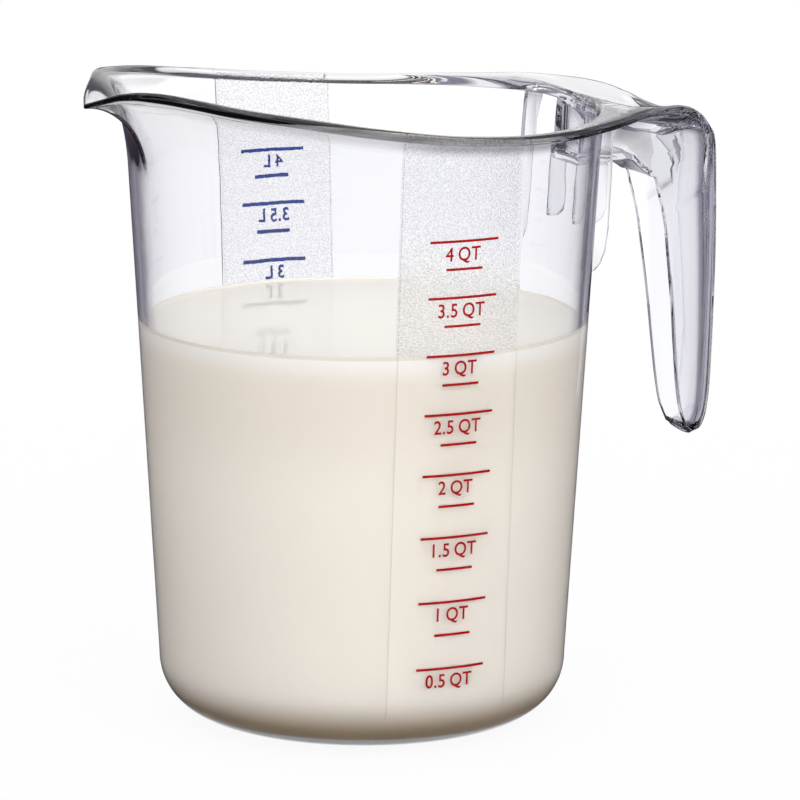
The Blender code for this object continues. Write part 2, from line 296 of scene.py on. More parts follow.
def buildShell():
    sizes = jugSizes
    swings = [math.radians(90 * i / 16) for i in range(17)]
    across = [0.11 * i for i in range(1, 5)]
    rounding = sizes["rimRounding"]
    arc = [math.pi / 2 * i / 4 for i in range(5)]
    rings = [flatRing(r, 0) for r in (0.030, sizes["footRadius"] - 0.0004)]
    rings.append(flatRing(sizes["footRadius"], 0.0003))
    rings.append(flatRing(sizes["footRadius"] + 0.0006, sizes["footHeight"]))
    rings += cornerRings(coneAt, sizes["corner"], sizes["footHeight"], 22, True)
    rings += [wallRing(z, True) for z in (0.05, 0.09, 0.13, 0.17, 0.20)]
    rings += [flareRing(swing, 0) for swing in swings]
    rings += [rimRing(share, 1) for share in across]
    # the rim's outer edge is rounded above and below
    for turn in arc:
        rings.append(edgeRing(1, rounding, turn))
    for turn in reversed(arc):
        rings.append(edgeRing(0, rounding, turn))
    rings += [rimRing(share, 0) for share in reversed(across)]
    rings += [lipRing(math.radians(turn)) for turn in range(90, -1, -10)]
    rings += [flareRing(swing, sizes["wall"]) for swing in reversed(swings[:15])]
    rings += [lambda angle, z=z: (innerRadius(z), z) for z in (0.20, 0.17, 0.13, 0.09, 0.05)]
    rings += reversed(cornerRings(innerRadius, sizes["corner"] - sizes["wall"], sizes["floorTop"], 18))
    rings += [flatRing(r, sizes["floorTop"]) for r in (0.040, 0.020)]
    return sheetThrough("jugShell", rings, columnAngles())


def edgeRing(level, rounding, turn):
    # quarter round at the rim's outer edge, scaled down where the rim is narrow
    def ring(angle):
        small = min(rounding, 0.42 * (rimReach(angle) - wallReach(angle)), 0.46 * rimDepth(angle))
        trim = small * (1 - math.cos(turn))
        return rimRing(1, level, small * (1 - math.sin(turn)), -trim if level else trim)(angle)
    return ring


# handle

handleSizes = {
    "sideFoot": 0.098, "sideFootWidth": 0.0094,      # lower end of the channel's side walls
    "sideBend": 0.188, "sideBendWidth": 0.0130,      # above this the half width stays the same
    "sideWall": 0.0026,
    "sideDepth": 0.0020,
    "webDepth": 0.0043,
    "rootWeb": 0.0025,
    "finOffset": 0.031, "finThickness": 0.0018,
}

# centre x, centre z, edge x, edge half width, edge z, thickness
strapStations = [
    (0.1180, 0.2232, 0.1120, 0.0350, 0.2314, 0.0010), (0.1250, 0.2226, 0.1222, 0.0328, 0.2306, 0.0024),
    (0.1310, 0.2232, 0.1275, 0.0300, 0.2289, 0.0034), (0.1370, 0.2234, 0.1312, 0.0276, 0.2257, 0.0034),
    (0.1415, 0.2222, 0.1340, 0.0256, 0.2218, 0.0034), (0.1447, 0.2188, 0.1366, 0.0228, 0.2165, 0.0034),
    (0.1460, 0.2132, 0.1388, 0.0192, 0.2105, 0.0034), (0.1464, 0.2050, 0.1405, 0.0156, 0.2030, 0.0034),
    (0.1467, 0.1900, 0.1415, 0.0134, 0.1895, 0.0032), (0.1472, 0.1700, 0.1424, 0.0126, 0.1700, 0.0032),
    (0.1472, 0.1500, 0.1426, 0.0118, 0.1500, 0.0032), (0.1470, 0.1300, 0.1426, 0.0110, 0.1300, 0.0032),
    (0.1465, 0.1150, 0.1423, 0.0103, 0.1155, 0.0032), (0.1452, 0.1050, 0.1414, 0.0099, 0.1064, 0.0032),
    (0.1425, 0.0992, 0.1398, 0.0097, 0.1012, 0.0032), (0.1385, 0.0972, 0.1372, 0.0095, 0.0990, 0.0030),
]
# outlines as x and z
freeEdge = [(0.1356, 0.1004), (0.1335, 0.1052), (0.1319, 0.1100), (0.1303, 0.1200), (0.1287, 0.1350),
            (0.1270, 0.1520), (0.1244, 0.1720), (0.1225, 0.1850), (0.1182, 0.2012)]
rootEdge = [(0.1160, 0.2017), (0.1122, 0.2042), (0.1076, 0.2084), (0.1055, 0.2090), (0.0952, 0.2090)]
rootFoot = [(0.0950, 0.1900), (0.0940, 0.1868), (0.0915, 0.1850), (0.0855, 0.1850)]
channelMouth = [(0.1290, 0.1060), (0.1200, 0.1080), (0.1100, 0.1900), (0.1100, 0.1985)]
rootSlot = [(0.0872, 0.2075), (0.1000, 0.2075), (0.1000, 0.1800), (0.0800, 0.1800), (0.0800, 0.1840)]
finOutline = [(0.0832, 0.2328), (0.0930, 0.2328), (0.0895, 0.2200), (0.0890, 0.2050), (0.0880, 0.1880),
              (0.0868, 0.1780), (0.0845, 0.1730), (0.0820, 0.1705), (0.0792, 0.1700)]


def denser(points, steps):
    # more points on the smooth curve through the given ones
    pts = np.array(points, float)
    ends = np.vstack([2 * pts[0] - pts[1], pts, 2 * pts[-1] - pts[-2]])
    out = []
    for i in range(1, len(ends) - 2):
        a, b, c, d = ends[i - 1:i + 3]
        for k in range(steps):
            t = k / steps
            out.append(0.5 * (2 * b + (c - a) * t + (2 * a - 5 * b + 4 * c - d) * t * t
                              + (3 * b - a - 3 * c + d) * t ** 3))
    out.append(pts[-1])
    return [tuple(p) for p in out]


def offsetLine(points, distance):
    moved = []
    for i, (x, z) in enumerate(points):
        before = points[max(i - 1, 0)]
        after = points[min(i + 1, len(points) - 1)]
        along = np.array([after[0] - before[0], after[1] - before[1]])
        along /= np.linalg.norm(along)
        moved.append((x + along[1] * distance, z - along[0] * distance))
    return moved


def strapPlate(cuts=28, steps=6, bends=6):
    # plate with round edges; one closed ring of points for each station
    stations = denser(strapStations, steps)
    upper = []
    for cx, cz, ex, half, ez, thick in stations:
        row = []
        for i in range(cuts + 1):
            v = (2 * i / cuts - 1) * (1 - thick / 2 / half)
            row.append(np.array([cx + (ex - cx) * v * v, half * v, cz + (ez - cz) * v * v]))
        upper.append(row)
    bm = bmesh.new()
    rings = []
    for s, row in enumerate(upper):
        before, after = upper[max(s - 1, 0)], upper[min(s + 1, len(upper) - 1)]
        thick = stations[s][5]
        normals = []
        for i in range(cuts + 1):
            normal = np.cross(after[i] - before[i], row[min(i + 1, cuts)] - row[max(i - 1, 0)])
            normals.append(normal / np.linalg.norm(normal))
        ring = list(row)
        for end, inner in ((cuts, cuts - 1), (0, 1)):
            outward = (row[end] - row[inner]) / np.linalg.norm(row[end] - row[inner])
            middle = row[end] - normals[end] * thick / 2
            arc = []
            for k in range(1, bends):
                turn = math.pi * k / bends
                arc.append(middle + thick / 2 * (math.cos(turn) * normals[end] + math.sin(turn) * outward))
            if end:
                ring += arc + [row[i] - thick * normals[i] for i in range(cuts, -1, -1)]
            else:
                ring += reversed(arc)
        rings.append([bm.verts.new(p) for p in ring])
    count = len(rings[0])
    for low, high in zip(rings, rings[1:]):
        for i in range(count):
            j = (i + 1) % count
            bm.faces.new((low[i], low[j], high[j], high[i]))
    for ring in (rings[0], rings[-1]):
        for i in range(cuts):
            under = cuts + bends + cuts - i
            bm.faces.new((ring[i], ring[i + 1], ring[under - 1], ring[under]))
        bm.faces.new([ring[i] for i in range(cuts, cuts + bends + 1)])
        bm.faces.new([ring[0]] + [ring[count - k] for k in range(1, bends + 1)])
    return newPiece("handleStrap", bm)


def sidePlate(name, outline, halfWidthAt, offset=0.0, bevel=0.0):
    bm = bmesh.new()
    bm.faces.new([bm.verts.new((x, 0, z)) for x, z in outline])
    parts = bm.verts[:] + bm.edges[:] + bm.faces[:]
    bmesh.ops.bisect_plane(bm, geom=parts, plane_co=(0, 0, handleSizes["sideBend"]), plane_no=(0, 0, 1))
    copy = bmesh.ops.extrude_face_region(bm, geom=bm.faces[:], use_keep_orig=True)
    moved = set(item for item in copy["geom"] if isinstance(item, bmesh.types.BMVert))
    for vert in bm.verts:
        side = 1 if vert in moved else -1
        vert.co.y = offset + side * halfWidthAt(vert.co.z)
    plate = newPiece(name, bm)
    if bevel:
        rounding = plate.modifiers.new("rounding", "BEVEL")
        rounding.width = bevel
        rounding.segments = 3
        rounding.limit_method = "ANGLE"
        rounding.angle_limit = math.radians(50)
        rounding.use_clamp_overlap = True
    return plate


def sideHalfWidth(z):
    sizes = handleSizes
    share = min(max((z - sizes["sideFoot"]) / (sizes["sideBend"] - sizes["sideFoot"]), 0), 1)
    return sizes["sideFootWidth"] + (sizes["sideBendWidth"] - sizes["sideFootWidth"]) * share


def hollowHalfWidth(z):
    return sideHalfWidth(z) - handleSizes["sideWall"]


def underPlate(depth):
    return [(x, rimTop(x, 0) - depth) for x in np.linspace(0.092, 0.122, 16)]


def joinBy(target, other, operation):
    step = target.modifiers.new(other.name, "BOOLEAN")
    step.operation = operation
    step.object = other
    step.solver = "MANIFOLD"
    other.hide_render = True


def asMesh(piece):
    # the piece with its modifiers made real
    solid = bpy.data.meshes.new_from_object(piece.evaluated_get(bpy.context.evaluated_depsgraph_get()))
    piece.modifiers.clear()
    piece.data = solid
    return piece


# bands along the rim that are painted dark as seen from outside: a painted dark reflection on the rim's edge
# and painted shade just under it
rimShading = {
    "lowest": 0.215, "plateGap": 0.002,     # nothing below this height, or this near the plate's end
    "edgeWidth": (0.0016, 0.0004),          # in from the rim's reach
    "edgeFoot": (0.0042, 0.0052),           # down from the rim's upper face
    "edgeShare": 0.93,                      # on the handle's half
    "underTop": (0.0030, 0.0038), "underFoot": (0.0050, 0.0088),
    "underShare": [(60, 0.95), (94, 0.9), (112, 0.55), (134, 0.5), (160, 0.25)],    # by degrees
}


def rimShadingAt(x, y, z):
    # how much painted dark reflection a point takes on the rim's outer edge, and how much painted shade in
    # the band just under it
    look = rimShading
    if x > thumbPlate["end"] - look["plateGap"] or z < look["lowest"]:
        return 0.0, 0.0
    radius, angle = math.hypot(x, y), abs(math.degrees(math.atan2(y, x)))
    wide, narrow = look["edgeWidth"]
    below = rimTop(x, y) - z
    near = smoothStep(radius, rimReach(angle) - wide, rimReach(angle) - narrow)
    inside = smoothStep(below, -0.0015, -0.0005) * (1 - smoothStep(below, *look["edgeFoot"]))
    share = look["edgeShare"] + (1 - look["edgeShare"]) * smoothStep(angle, 85, 115)
    edge = near * inside * share * (1 - 0.06 * smoothStep(below, 0.0012, 0.0032))
    outer = smoothStep(radius - coneAt(z), -0.0010, -0.0004) * (1 - near)
    depth = smoothStep(below, *look["underTop"]) * (1 - smoothStep(below, *look["underFoot"]))
    return edge, outer * depth * smoothValue(look["underShare"], angle)


def shadeRim(mesh):
    bands = [rimShadingAt(*vert.co) for vert in mesh.vertices]
    for name, values in zip(("rimEdgeReflection", "underRimShade"), zip(*bands)):
        attribute = mesh.attributes.new(name, "FLOAT", "POINT")
        attribute.data.foreach_set("value", values)


def buildJug():
    jug = buildShell()
    centre = [(row[0], row[1]) for row in denser(strapStations[2:], 5)]
    outline = [(0.0882, 0.2318)] + underPlate(handleSizes["sideDepth"])
    outline += offsetLine(centre, handleSizes["sideDepth"]) + denser(freeEdge, 4) + rootEdge + rootFoot
    sides = sidePlate("handleSides", outline, sideHalfWidth, bevel=0.0006)
    slot = sidePlate("rootSlot", rootSlot, hollowHalfWidth)
    joinBy(sides, slot, "DIFFERENCE")
    outline = underPlate(handleSizes["sideDepth"] + jugSizes["rimThickness"])
    outline += offsetLine(centre, handleSizes["webDepth"]) + channelMouth
    outline += offsetLine(rootEdge, handleSizes["rootWeb"])
    outline[-1] = (0.092, outline[-1][1])
    hollow = sidePlate("handleHollow", outline, hollowHalfWidth, bevel=0.0012)
    strap = strapPlate()
    helpers = [sides, slot, hollow, strap]
    joinBy(jug, strap, "UNION")
    joinBy(jug, sides, "UNION")
    joinBy(jug, hollow, "DIFFERENCE")
    for side in (-1, 1):
        fin = sidePlate("fin", finOutline, lambda z: handleSizes["finThickness"] / 2,
                        side * handleSizes["finOffset"], bevel=0.0005)
        joinBy(jug, fin, "UNION")
        helpers.append(fin)
    asMesh(jug)
    for helper in helpers:
        bpy.data.objects.remove(helper)
    jug.name = "jugBody"
    shadeRim(jug.data)
    jug.data.shade_smooth()
    jug.data.set_sharp_from_angle(angle=math.radians(38))
    print("jug:", len(jug.data.polygons), "faces")
    return jug


# milk

milkSizes = {"level": 0.153, "intoWall": 0.0003, "meniscus": 0.0012, "meniscusWidth": 0.0016}


def buildMilk():
    sizes = milkSizes

    def radius(z):
        return innerRadius(z) + sizes["intoWall"]
    corner = jugSizes["corner"] - jugSizes["wall"] + sizes["intoWall"]
    rings = [flatRing(0.02, jugSizes["floorTop"] - sizes["intoWall"])]
    rings += cornerRings(radius, corner, jugSizes["floorTop"] - sizes["intoWall"], 18)
    edge = radius(sizes["level"])
    rings += [flatRing(radius(z), z) for z in (0.05, 0.10, sizes["level"] - 0.004, sizes["level"])]
    rings.append(flatRing(edge, sizes["level"] + sizes["meniscus"]))
    for back in (0.0003, 0.0006, 0.0010, 0.0016, 0.0024, 0.0034, 0.0048, 0.0075, 0.012, 0.03, 0.06):
        climb = sizes["meniscus"] * math.exp(-max(back - 0.0003, 0) / sizes["meniscusWidth"])
        rings.append(flatRing(edge - back, sizes["level"] + climb))
    milk = sheetThrough("milkFill", rings, [2.0 * i for i in range(180)])
    milk.data.shade_smooth()
    milk.data.set_sharp_from_angle(angle=math.radians(50))
    print("milk:", len(milk.data.polygons), "faces")
    return milk


# materials

def newMaterial(name):
    material = bpy.data.materials.new(name)
    material.use_nodes = True
    tree = material.node_tree
    return material, tree, tree.nodes["Principled BSDF"]


def fill(tree, node, given):
    # gives each named input its value, or a link where the value comes from a node
    for label, value in given.items():
        socket = node.inputs[label]
        if hasattr(value, "is_output"):
            tree.links.new(value, socket)
        else:
            socket.default_value = (*value, 1) if socket.type == "RGBA" else value
    return node


def newNode(tree, kind, given):
    return fill(tree, tree.nodes.new(kind), given)


def mathNode(tree, operation, *values):
    node = tree.nodes.new("ShaderNodeMath")
    node.operation = operation
    return fill(tree, node, dict(enumerate(values))).outputs[0]


def product(tree, first, *others):
    for other in others:
        first = mathNode(tree, "MULTIPLY", first, other)
    return first


def mixNode(tree, factor, first, second, kind="RGBA"):
    # first where the factor is 0 and second where it is 1
    node = tree.nodes.new("ShaderNodeMix")
    node.data_type = kind
    given = {0: factor, 6: first, 7: second} if kind == "RGBA" else {0: factor, 2: first, 3: second}
    return fill(tree, node, given).outputs[2 if kind == "RGBA" else 0]


def rangeNode(tree, value, low, high, toLow=0.0, toHigh=1.0, smooth=False):
    # the value from low to high carried to toLow and toHigh, and held at the ends
    node = tree.nodes.new("ShaderNodeMapRange")
    if smooth:
        node.interpolation_type = "SMOOTHSTEP"
    given = {"Value": value, "From Min": low, "From Max": high, "To Min": toLow, "To Max": toHigh}
    return fill(tree, node, given).outputs[0]


def rampNode(tree, factor, stops):
    # colours by position; a stop holds its place and its colour
    node = tree.nodes.new("ShaderNodeValToRGB")
    tree.links.new(factor, node.inputs[0])
    node.color_ramp.elements[1].position = 1.0
    for where, _ in stops[1:-1]:
        node.color_ramp.elements.new(where)
    for element, (where, colour) in zip(node.color_ramp.elements, stops):
        element.position = where
        element.color = (*colour, 1)
    return node.outputs[0]


def noiseNode(tree, place, scale, detail):
    given = {"Vector": place, "Scale": scale, "Detail": detail}
    return newNode(tree, "ShaderNodeTexNoise", given).outputs[0]


def bumpNode(tree, height, strength, distance, under=None):
    given = {"Height": height, "Strength": strength, "Distance": distance}
    if under is not None:
        given["Normal"] = under
    return newNode(tree, "ShaderNodeBump", given).outputs[0]


def attributeNode(tree, name):
    node = tree.nodes.new("ShaderNodeAttribute")
    node.attribute_name = name
    return node.outputs["Fac"]


def placeNodes(tree):
    # object coordinates and their parts
    place = tree.nodes.new("ShaderNodeTexCoord").outputs["Object"]
    return place, *newNode(tree, "ShaderNodeSeparateXYZ", {0: place}).outputs


plasticLook = {
    "tint": (0.978, 0.982, 0.996),
    "roughness": 0.012, "index": 1.57,
    "absorbed": (0.80, 0.79, 0.85), "absorption": 16.0,
    "waveScale": 30.0, "waveStrength": 0.25, "waveDepth": 0.0006,
    "sideStart": 0.06, "wallStart": 0.016,          # the panels lie past these, by y and by z
    "pebbleScale": 1650.0, "pebbleRange": (0.40, 0.62), "pebbleDepth": 0.00015,
    "pebbleEdge": 0.0004, "pebbleInside": -0.0012,  # clear of the panel's edge, and inside the wall
    "pebbleHollowShade": (0.66, 0.66, 0.695),              # painted shade in the hollows between the pebbles
    "panelStepShade": (0.68, 0.68, 0.71),                 # painted shade along the step round a panel
    "edgeLine": 0.00016, "edgeInside": -0.0008,
    "streakScale": 160.0, "streakStretch": (0.25, 0.25, 3.0), "streakFrom": 0.93,
    "rimDarkReflection": (0.006, 0.004, 0.010),               # painted dark reflection on the rim's edge, which throws back what is dark
    "paintedShade": (0.10, 0.085, 0.12),             # painted shade where the surface turns away, from start to full, and in the band under the rim
    "outlineStart": 0.86, "outlineFull": 0.985,
    "backSteeper": 3.3,                             # for rays inside the plastic
    "handleFrom": 0.1275, "handleStart": 0.34, "handleFull": 0.82,
    # painted shade over the handle, a little grey and blue
    "handleShade": (0.91, 0.915, 0.945),
    # painted contact shadow along the foot's lowest edge
    "footShadow": (0.16, 0.16, 0.19), "footLine": 0.0010,
}


def panelMasks(tree, x, y, z):
    # where the wall is pebbled, above the milk on the inside, and the thin line along each side of a panel
    look = plasticLook
    squares = mathNode(tree, "ADD", product(tree, x, x), product(tree, y, y))
    cone = mathNode(tree, "ADD", product(tree, z, jugSizes["taper"]), jugSizes["coneRadius"])
    depth = mathNode(tree, "SUBTRACT", mathNode(tree, "SQRT", squares), cone)
    off = mathNode(tree, "ABSOLUTE", x)
    onWall = product(tree, mathNode(tree, "GREATER_THAN", mathNode(tree, "ABSOLUTE", y), look["sideStart"]),
                     mathNode(tree, "GREATER_THAN", z, look["wallStart"]))
    pebbled = product(tree, onWall,
                      mathNode(tree, "LESS_THAN", off, jugSizes["panelHalf"] - look["pebbleEdge"]),
                      mathNode(tree, "LESS_THAN", depth, look["pebbleInside"]),
                      mathNode(tree, "GREATER_THAN", z, milkSizes["level"]))
    fromEdge = mathNode(tree, "ABSOLUTE", mathNode(tree, "SUBTRACT", off, jugSizes["panelHalf"]))
    line = product(tree, onWall, mathNode(tree, "LESS_THAN", fromEdge, look["edgeLine"]),
                   mathNode(tree, "GREATER_THAN", depth, look["edgeInside"]))
    return pebbled, line


def clearPlastic():
    look = plasticLook
    material, tree, shader = newMaterial("clearPlastic")
    fill(tree, shader, {"Roughness": look["roughness"], "IOR": look["index"], "Transmission Weight": 1.0})
    place, x, y, z = placeNodes(tree)
    backFace = tree.nodes.new("ShaderNodeNewGeometry").outputs["Backfacing"]
    outside = mathNode(tree, "SUBTRACT", 1.0, backFace)
    # the painted dark edges and painted shade are for what is seen, and leave the light on the milk alone
    bounced = tree.nodes.new("ShaderNodeLightPath").outputs["Diffuse Depth"]
    unlit = mathNode(tree, "LESS_THAN", bounced, 0.5)
    pebbled, line = panelMasks(tree, x, y, z)
    cells = noiseNode(tree, place, look["pebbleScale"], 0.6)
    # painted shade in the hollows between the pebbles
    hollows = product(tree, rangeNode(tree, cells, *look["pebbleRange"]), pebbled)
    colour = mixNode(tree, hollows, look["tint"], look["pebbleHollowShade"])
    # painted shade along each panel's step
    colour = mixNode(tree, line, colour, look["panelStepShade"])
    # painted dark reflection on the rim's edge and painted shade under it, in streaks, seen from outside only
    parts = [product(tree, part, stretch) for part, stretch in zip((x, y, z), look["streakStretch"])]
    around = newNode(tree, "ShaderNodeCombineXYZ", dict(enumerate(parts)))
    streaks = noiseNode(tree, around.outputs[0], look["streakScale"], 2.0)
    streaks = rangeNode(tree, streaks, 0.35, 0.65, look["streakFrom"], 1.0)
    for name, tint in (("underRimShade", look["paintedShade"]), ("rimEdgeReflection", look["rimDarkReflection"])):
        share = product(tree, attributeNode(tree, name), streaks, outside)
        colour = mixNode(tree, share, colour, tint)
    # painted shade, darker where the surface turns away; inside the plastic that comes at a steeper angle
    turned = tree.nodes.new("ShaderNodeLayerWeight").outputs["Facing"]
    turned = product(tree, turned, mathNode(tree, "ADD", 1.0, product(tree, backFace, look["backSteeper"])))
    onHandle = mathNode(tree, "GREATER_THAN", x, look["handleFrom"])
    start = mixNode(tree, onHandle, look["outlineStart"], look["handleStart"], "FLOAT")
    full = mixNode(tree, onHandle, look["outlineFull"], look["handleFull"], "FLOAT")
    turnedShade = rangeNode(tree, turned, start, full, smooth=True)
    # painted shade over the whole handle, for what is seen
    colour = mixNode(tree, product(tree, onHandle, unlit), colour, look["handleShade"])
    colour = mixNode(tree, product(tree, turnedShade, unlit), colour, look["paintedShade"])
    # painted contact shadow in a thin band round the bottom of the foot, seen from outside
    foot = mathNode(tree, "LESS_THAN", z, look["footLine"])
    colour = mixNode(tree, product(tree, foot, unlit, outside), colour, look["footShadow"])
    # long shallow waves from moulding all over, and the pebbles on them
    waves = noiseNode(tree, place, look["waveScale"], 2.0)
    swell = bumpNode(tree, waves, look["waveStrength"], look["waveDepth"])
    pebbles = bumpNode(tree, product(tree, cells, pebbled), 1.0, look["pebbleDepth"], swell)
    fill(tree, shader, {"Base Color": colour, "Normal": pebbles})
    absorb = newNode(tree, "ShaderNodeVolumeAbsorption",
                     {"Color": look["absorbed"], "Density": look["absorption"]})
    fill(tree, tree.nodes["Material Output"], {"Volume": absorb.outputs[0]})
    return material


milkColours = {
    "cream": (0.935, 0.886, 0.800), "pale": (0.948, 0.905, 0.832), "paleShare": 0.3,
    "cloudScale": 14.0,
    "line": (0.98, 0.955, 0.90), "lineDepth": 0.010,            # paler where light comes in at the top
    "shade": (0.885, 0.832, 0.742), "shadeDepths": (0.055, 0.018),
    "corner": (0.50, 0.37, 0.205), "cornerTop": 0.0225,         # painted shade where it turns under
    "under": (0.95, 0.97, 1.0), "underTop": (0.0022, 0.0012),   # painted reflection of the pale table on the flat bottom
    # painted shade: the top surface a little darker than the body
    "surface": (0.885, 0.835, 0.735),
    "roughness": 0.07, "wallRoughness": 0.4, "index": 1.35,
}


def creamyMilk():
    look = milkColours
    material, tree, shader = newMaterial("milkLook")
    place, _, _, z = placeNodes(tree)
    level, bottom = milkSizes["level"], jugSizes["floorTop"]
    cloud = noiseNode(tree, place, look["cloudScale"], 3.0)
    mixed = [a + (b - a) * look["paleShare"] for a, b in zip(look["cream"], look["pale"])]
    body = rampNode(tree, cloud, [(0.3, look["cream"]), (0.7, mixed)])
    # painted light and shade in bands, from the pale line at the top down to the flat bottom
    deep, shallow = look["shadeDepths"]
    bands = (("shade", level - deep, level - shallow),
             ("corner", look["cornerTop"], bottom + 0.0005),
             ("under", bottom + look["underTop"][0], bottom + look["underTop"][1]))
    for name, start, full in bands:
        body = mixNode(tree, rangeNode(tree, z, start, full, smooth=True), body, look[name])
    top = mathNode(tree, "GREATER_THAN", z, level - 0.0001)
    nearLine = rangeNode(tree, z, level - look["lineDepth"], level - 0.0005, smooth=True)
    atWall = product(tree, nearLine, mathNode(tree, "SUBTRACT", 1.0, top))
    body = mixNode(tree, atWall, mixNode(tree, top, body, look["surface"]), look["line"])
    # smooth liquid on top, and dull where it meets the wall
    roughness = mixNode(tree, top, look["wallRoughness"], look["roughness"], "FLOAT")
    gloss = mixNode(tree, top, 0.0, 0.5, "FLOAT")
    fill(tree, shader, {"Base Color": body, "Roughness": roughness, "IOR": look["index"],
                        "Specular IOR Level": gloss, "Normal": bumpNode(tree, cloud, 0.3, 0.0002)})
    return material


inkColours = {
    "redInk": ((0.25, 0.001, 0.002), (0.20, 0.001, 0.001)),     # light and dark specks
    "blueInk": ((0.001, 0.060, 0.42), (0.001, 0.045, 0.34)),
}


def inkGrain():
    # specks in printed ink, shared by both inks
    group = bpy.data.node_groups.new("inkGrain", "ShaderNodeTree")
    face = group.interface
    for label, kind in (("Light", "Color"), ("Dark", "Color"), ("Scale", "Float")):
        face.new_socket(label, in_out="INPUT", socket_type="NodeSocket" + kind)
    for label, kind in (("Colour", "Color"), ("Height", "Float")):
        face.new_socket(label, in_out="OUTPUT", socket_type="NodeSocket" + kind)
    enter = group.nodes.new("NodeGroupInput")
    leave = group.nodes.new("NodeGroupOutput")
    place = group.nodes.new("ShaderNodeTexCoord").outputs["Object"]
    speck = noiseNode(group, place, enter.outputs["Scale"], 2.0)
    share = rangeNode(group, speck, 0.35, 0.65)
    colour = mixNode(group, share, enter.outputs["Dark"], enter.outputs["Light"])
    fill(group, leave, {"Colour": colour, "Height": speck})
    return group


def printInk(name, grain):
    material, tree, shader = newMaterial(name)
    specks = tree.nodes.new("ShaderNodeGroup")
    specks.node_tree = grain
    light, dark = inkColours[name]
    fill(tree, specks, {"Light": light, "Dark": dark, "Scale": 1400.0})
    press = bumpNode(tree, specks.outputs["Height"], 0.4, 0.00002)
    fill(tree, shader, {"Base Color": specks.outputs["Colour"], "Normal": press, "Roughness": 0.4,
                        "Specular IOR Level": 0.1})
    return material


# the printed scale

printSizes = {
    "firstMark": 0.5, "markStep": 0.25, "lastMark": 4.0,
    "longLine": 0.0276, "shortLine": 0.0146, "lineHeight": 0.00095, "inkDepth": 0.00006,
    "capHeight": 0.0053, "textDrop": 0.0019, "textShift": -0.0007,
    "fontCap": 0.729,                       # height of the font's capitals at size 1
    "letterSpace": 1.06, "wordSpace": 0.7,
}
# what differs between the quart scale in front and the litre scale behind
sidePrint = {
    -1: {"narrow": 0.87, "thicker": 0.012, "lineShare": 1.0},
    1: {"narrow": 0.93, "thicker": 0.025, "lineShare": 1.55},
}
quartInLitres = 0.946353


def fillHeight(litres):
    # height of the level that holds this volume
    volume, z, step = 0.0, jugSizes["floorTop"], 0.0002
    corner = jugSizes["corner"] - jugSizes["wall"]
    bottom = jugSizes["floorTop"]
    middle = innerRadius(bottom + corner) - corner
    while volume < litres * 0.001:
        up = z + step / 2 - bottom
        if up < corner:
            radius = middle + math.sqrt(corner ** 2 - (corner - up) ** 2)
        else:
            radius = innerRadius(z + step / 2)
        volume += math.pi * radius ** 2 * step
        z += step
    return z


def embolden(letters, amount):
    # moves the outline of flat letters outwards
    shifts = {}
    for edge in letters.edges:
        if len(edge.link_faces) != 1:
            continue
        along = (edge.verts[1].co - edge.verts[0].co).normalized()
        out = Vector((along.y, -along.x, 0))
        if out.dot(edge.link_faces[0].calc_center_median() - edge.verts[0].co) > 0:
            out = -out
        for vert in edge.verts:
            shifts.setdefault(vert, []).append(out)
    for vert, outs in shifts.items():
        push = sum(outs, Vector())
        if push.length > 0.3:
            vert.co += push * min(2 / push.length_squared, 1.6) * amount


def wrapOnWall(mesh, side):
    # flat print in x and z, depth in y, laid on the outside of the wall; side is -1 in front and 1 behind
    for vert in mesh.vertices:
        along, up, out = vert.co.x, vert.co.z, vert.co.y
        radius = coneAt(up) + jugSizes["panelRaise"] + out
        turn = along / radius
        if side < 0:
            vert.co = (radius * math.sin(turn), -radius * math.cos(turn), up)
        else:
            vert.co = (-radius * math.sin(turn), radius * math.cos(turn), up)
    mesh.update()


def tickTree(name):
    # lines of the scale: one bar on each point, long or short
    tree = bpy.data.node_groups.new(name, "GeometryNodeTree")
    face = tree.interface
    face.new_socket("Geometry", in_out="INPUT", socket_type="NodeSocketGeometry")
    for label in ("Long Line", "Short Line", "Line Height", "Ink Depth"):
        face.new_socket(label, in_out="INPUT", socket_type="NodeSocketFloat")
    face.new_socket("Ink", in_out="INPUT", socket_type="NodeSocketMaterial")
    face.new_socket("Geometry", in_out="OUTPUT", socket_type="NodeSocketGeometry")
    enter = tree.nodes.new("NodeGroupInput")
    leave = tree.nodes.new("NodeGroupOutput")
    size = {"X": 1.0, "Y": enter.outputs["Ink Depth"], "Z": enter.outputs["Line Height"]}
    size = newNode(tree, "ShaderNodeCombineXYZ", size)
    bar = newNode(tree, "GeometryNodeMeshCube", {"Size": size.outputs[0], "Vertices X": 28,
                                                 "Vertices Y": 2, "Vertices Z": 2})
    isLong = newNode(tree, "GeometryNodeInputNamedAttribute", {"Name": "longTick"})
    isLong.data_type = "FLOAT"
    pick = newNode(tree, "ShaderNodeMix", {"Factor": isLong.outputs[0], "A": enter.outputs["Short Line"],
                                           "B": enter.outputs["Long Line"]})
    stretch = newNode(tree, "ShaderNodeCombineXYZ", {"X": pick.outputs["Result"], "Y": 1.0, "Z": 1.0})
    place = newNode(tree, "GeometryNodeInstanceOnPoints", {"Points": enter.outputs["Geometry"],
                                                           "Instance": bar.outputs["Mesh"],
                                                           "Scale": stretch.outputs[0]})
    real = newNode(tree, "GeometryNodeRealizeInstances", {0: place.outputs[0]})
    paint = newNode(tree, "GeometryNodeSetMaterial", {"Geometry": real.outputs[0],
                                                      "Material": enter.outputs["Ink"]})
    fill(tree, leave, {0: paint.outputs[0]})
    return tree


